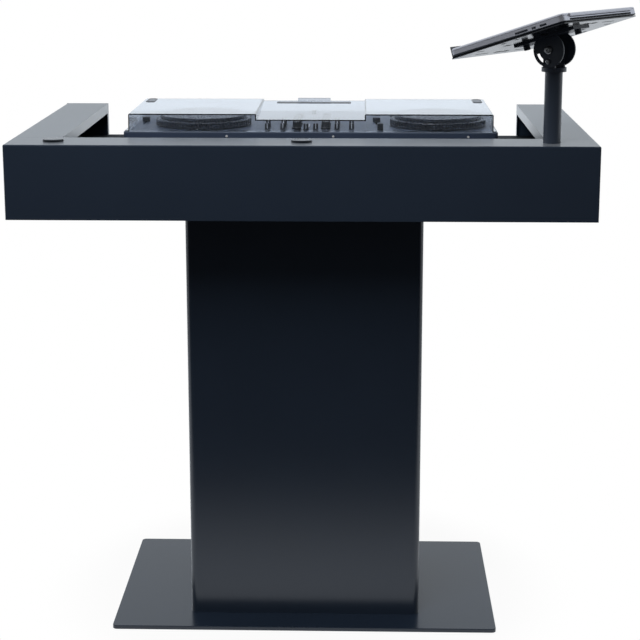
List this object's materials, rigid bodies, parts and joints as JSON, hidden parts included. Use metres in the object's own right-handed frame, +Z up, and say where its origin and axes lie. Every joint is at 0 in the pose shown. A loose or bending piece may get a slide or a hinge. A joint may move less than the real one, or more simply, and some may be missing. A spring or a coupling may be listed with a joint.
{
  "type": "dj booth",
  "caption": "Steel column DJ booth with a sunken tray, a controller under a clear dust cover, cable caps and a swivelling, tilting laptop arm.",
  "frame": {"origin": "centre of the base on the floor", "axes": "+Z up, -Y towards the audience, +Y towards the player, +X to the right seen from the audience"},
  "size_m": [1.2228, 0.8447, 1.3085],
  "materials": {
    "coat": "satin powder coat",
    "rubber": "matte",
    "steel": "plain",
    "black_plastic": "matte",
    "cap_plastic": "satin",
    "arm_coat": "satin powder coat",
    "tray_coat": "smooth semi-gloss coat",
    "laptop_metal": "fine blasted",
    "screen_glass": "gloss",
    "board": "matte",
    "panel": "satin",
    "jack_metal": "plain",
    "jog": "satin",
    "control": "satin",
    "clear_cover": "clear, slightly smoked"
  },
  "bodies": {
    "booth": {"base_plate": "coat", "floor_pads": "rubber", "column_shell": "coat", "column_rear_cover": "coat", "foot_flange": "coat", "head_plate": "coat", "column_bolts": "steel", "panel_screws": "steel", "front_rail": "coat", "left_rail": "coat", "right_rail": "coat", "rail_end_caps": "coat", "corner_plates": "coat", "tray_floor": "coat", "tray_grommet": "black_plastic", "floor_beams": "coat", "grommet_rings": "black_plastic", "pole_socket": "coat"},
    "cap_left": {"cable_cap_left": "cap_plastic"},
    "cap_centre": {"cable_cap_centre": "cap_plastic"},
    "arm": {"arm_pole": "arm_coat", "arm_yoke": "arm_coat", "pivot_bolt": "arm_coat"},
    "head": {"tilt_head": "arm_coat", "laptop_tray": "tray_coat", "tray_bolts": "arm_coat", "tray_grips": "rubber"},
    "laptop": {"laptop_case": "laptop_metal", "laptop_keys": "black_plastic", "laptop_feet": "rubber"},
    "lid": {"laptop_lid": "laptop_metal", "laptop_screen": "screen_glass", "laptop_hinge": "laptop_metal"},
    "controller": {"controller_chassis": "black_plastic", "controller_board": "board", "controller_panel": "panel", "controller_feet": "rubber", "controller_jacks": "jack_metal", "jog_spindles": "steel", "pad_mat_left": "rubber", "pad_mat_right": "rubber"},
    "cover": {"dust_cover": "clear_cover"},
    "jog_left": {"jog_wheel_left": "jog"},
    "jog_right": {"jog_wheel_right": "jog"},
    "pitch_fader_left_cap": {"pitch_fader_left": "control"},
    "pitch_fader_right_cap": {"pitch_fader_right": "control"},
    "channel_fader_left_cap": {"channel_fader_left": "control"},
    "channel_fader_right_cap": {"channel_fader_right": "control"},
    "crossfader_cap": {"crossfader": "control"},
    "tone_knob_left_1_body": {"tone_knob_left_1": "control"},
    "tone_knob_left_2_body": {"tone_knob_left_2": "control"},
    "tone_knob_left_3_body": {"tone_knob_left_3": "control"},
    "tone_knob_right_1_body": {"tone_knob_right_1": "control"},
    "tone_knob_right_2_body": {"tone_knob_right_2": "control"},
    "tone_knob_right_3_body": {"tone_knob_right_3": "control"},
    "cue_button_left_body": {"cue_button_left": "control"},
    "play_button_left_body": {"play_button_left": "control"},
    "cue_button_right_body": {"cue_button_right": "control"},
    "play_button_right_body": {"play_button_right": "control"}
  },
  "joints": [
    {"name": "cap_left_lift", "type": "slide", "parent": "booth", "child": "cap_left", "axis": [0, 0, 1], "range_m": [0, 0.04]},
    {"name": "cap_centre_lift", "type": "slide", "parent": "booth", "child": "cap_centre", "axis": [0, 0, 1], "range_m": [0, 0.04]},
    {"name": "arm_swivel", "type": "hinge", "parent": "booth", "child": "arm", "pos_m": [0.486, -0.308, 1.05], "axis": [0, 0, 1], "range_deg": [-170, 170]},
    {"name": "tray_tilt", "type": "hinge", "parent": "arm", "child": "head", "pos_m": [0.486, -0.308, 1.23], "axis": [-0.585, -0.8111, 0], "range_deg": [-17.8, 40]},
    {"name": "laptop_lift", "type": "slide", "parent": "head", "child": "laptop", "axis": [-0.2479, 0.1788, 0.9521], "range_m": [0, 0.06]},
    {"name": "lid_open", "type": "hinge", "parent": "laptop", "child": "lid", "pos_m": [0.56275, -0.36335, 1.3046], "axis": [0.585, 0.8111, 0], "range_deg": [0, 125]},
    {"name": "controller_slide", "type": "slide", "parent": "booth", "child": "controller", "axis": [0, 1, 0], "range_m": [0, 0.12]},
    {"name": "cover_lift", "type": "slide", "parent": "controller", "child": "cover", "axis": [0, 0, 1], "range_m": [0, 0.05]},
    {"name": "jog_left_turn", "type": "hinge", "parent": "controller", "child": "jog_left", "pos_m": [-0.217, -0.0245, 1.0492], "axis": [0, 0, 1], "continuous": true},
    {"name": "jog_right_turn", "type": "hinge", "parent": "controller", "child": "jog_right", "pos_m": [0.277, -0.0245, 1.0492], "axis": [0, 0, 1], "continuous": true},
    {"name": "pitch_fader_left_slide", "type": "slide", "parent": "controller", "child": "pitch_fader_left_cap", "axis": [0, 1, 0], "range_m": [-0.045, 0.045]},
    {"name": "pitch_fader_right_slide", "type": "slide", "parent": "controller", "child": "pitch_fader_right_cap", "axis": [0, 1, 0], "range_m": [-0.045, 0.045]},
    {"name": "channel_fader_left_slide", "type": "slide", "parent": "controller", "child": "channel_fader_left_cap", "axis": [0, 1, 0], "range_m": [-0.022, 0.022]},
    {"name": "channel_fader_right_slide", "type": "slide", "parent": "controller", "child": "channel_fader_right_cap", "axis": [0, 1, 0], "range_m": [-0.022, 0.022]},
    {"name": "crossfader_slide", "type": "slide", "parent": "controller", "child": "crossfader_cap", "axis": [1, 0, 0], "range_m": [-0.022, 0.022]},
    {"name": "tone_knob_left_1_turn", "type": "hinge", "parent": "controller", "child": "tone_knob_left_1_body", "pos_m": [-0.018, -0.1, 1.0492], "axis": [0, 0, 1], "range_deg": [-150, 150]},
    {"name": "tone_knob_left_2_turn", "type": "hinge", "parent": "controller", "child": "tone_knob_left_2_body", "pos_m": [-0.018, -0.062, 1.0492], "axis": [0, 0, 1], "range_deg": [-150, 150]},
    {"name": "tone_knob_left_3_turn", "type": "hinge", "parent": "controller", "child": "tone_knob_left_3_body", "pos_m": [-0.018, -0.024, 1.0492], "axis": [0, 0, 1], "range_deg": [-150, 150]},
    {"name": "tone_knob_right_1_turn", "type": "hinge", "parent": "controller", "child": "tone_knob_right_1_body", "pos_m": [0.042, -0.1, 1.0492], "axis": [0, 0, 1], "range_deg": [-150, 150]},
    {"name": "tone_knob_right_2_turn", "type": "hinge", "parent": "controller", "child": "tone_knob_right_2_body", "pos_m": [0.042, -0.062, 1.0492], "axis": [0, 0, 1], "range_deg": [-150, 150]},
    {"name": "tone_knob_right_3_turn", "type": "hinge", "parent": "controller", "child": "tone_knob_right_3_body", "pos_m": [0.042, -0.024, 1.0492], "axis": [0, 0, 1], "range_deg": [-150, 150]},
    {"name": "cue_button_left_press", "type": "slide", "parent": "controller", "child": "cue_button_left_body", "axis": [0, 0, -1], "range_m": [0, 0.0015], "stiffness_N_per_m": 400, "springref_m": -0.002},
    {"name": "play_button_left_press", "type": "slide", "parent": "controller", "child": "play_button_left_body", "axis": [0, 0, -1], "range_m": [0, 0.0015], "stiffness_N_per_m": 400, "springref_m": -0.002},
    {"name": "cue_button_right_press", "type": "slide", "parent": "controller", "child": "cue_button_right_body", "axis": [0, 0, -1], "range_m": [0, 0.0015], "stiffness_N_per_m": 400, "springref_m": -0.002},
    {"name": "play_button_right_press", "type": "slide", "parent": "controller", "child": "play_button_right_body", "axis": [0, 0, -1], "range_m": [0, 0.0015], "stiffness_N_per_m": 400, "springref_m": -0.002}
  ]
}
